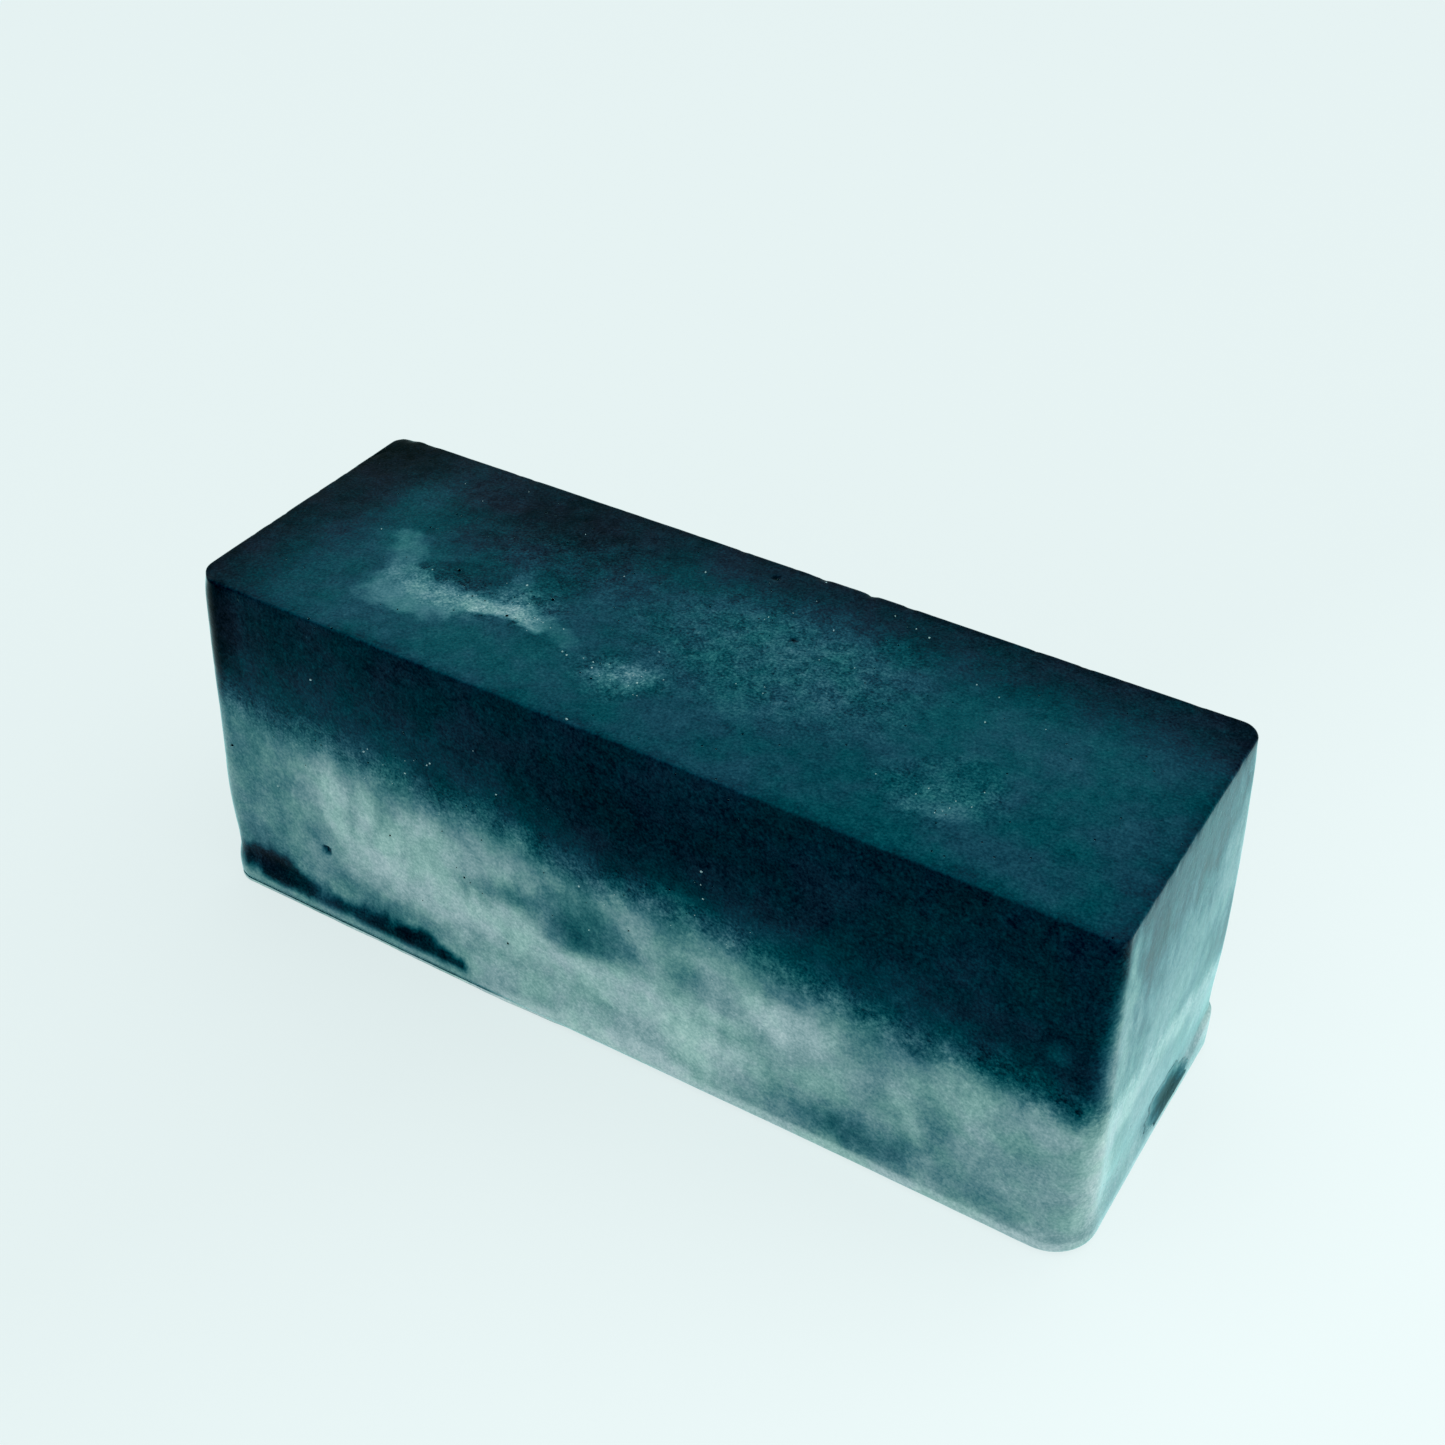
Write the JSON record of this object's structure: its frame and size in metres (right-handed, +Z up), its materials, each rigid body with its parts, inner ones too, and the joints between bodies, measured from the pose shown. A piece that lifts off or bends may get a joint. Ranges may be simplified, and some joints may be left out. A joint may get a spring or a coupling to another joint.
{
  "type": "charcoal stick",
  "caption": "Block-shaped cast charcoal drawing stick, a dark top layer over a pale base layer, with a thin flash lip round its foot.",
  "frame": {"origin": "middle of the base, on the plane that the stick stands on", "axes": "+X along the stick's length, +Y across its width, +Z up from the pale base to the dark top"},
  "size_m": [0.0774, 0.0266, 0.0304],
  "materials": {
    "charcoal": "satin",
    "pale_binder": "satin",
    "flash": "matt"
  },
  "bodies": {
    "root": {"charcoal_layer": "charcoal", "pale_layer": "pale_binder", "flash_lip": "flash"}
  },
  "joints": []
}
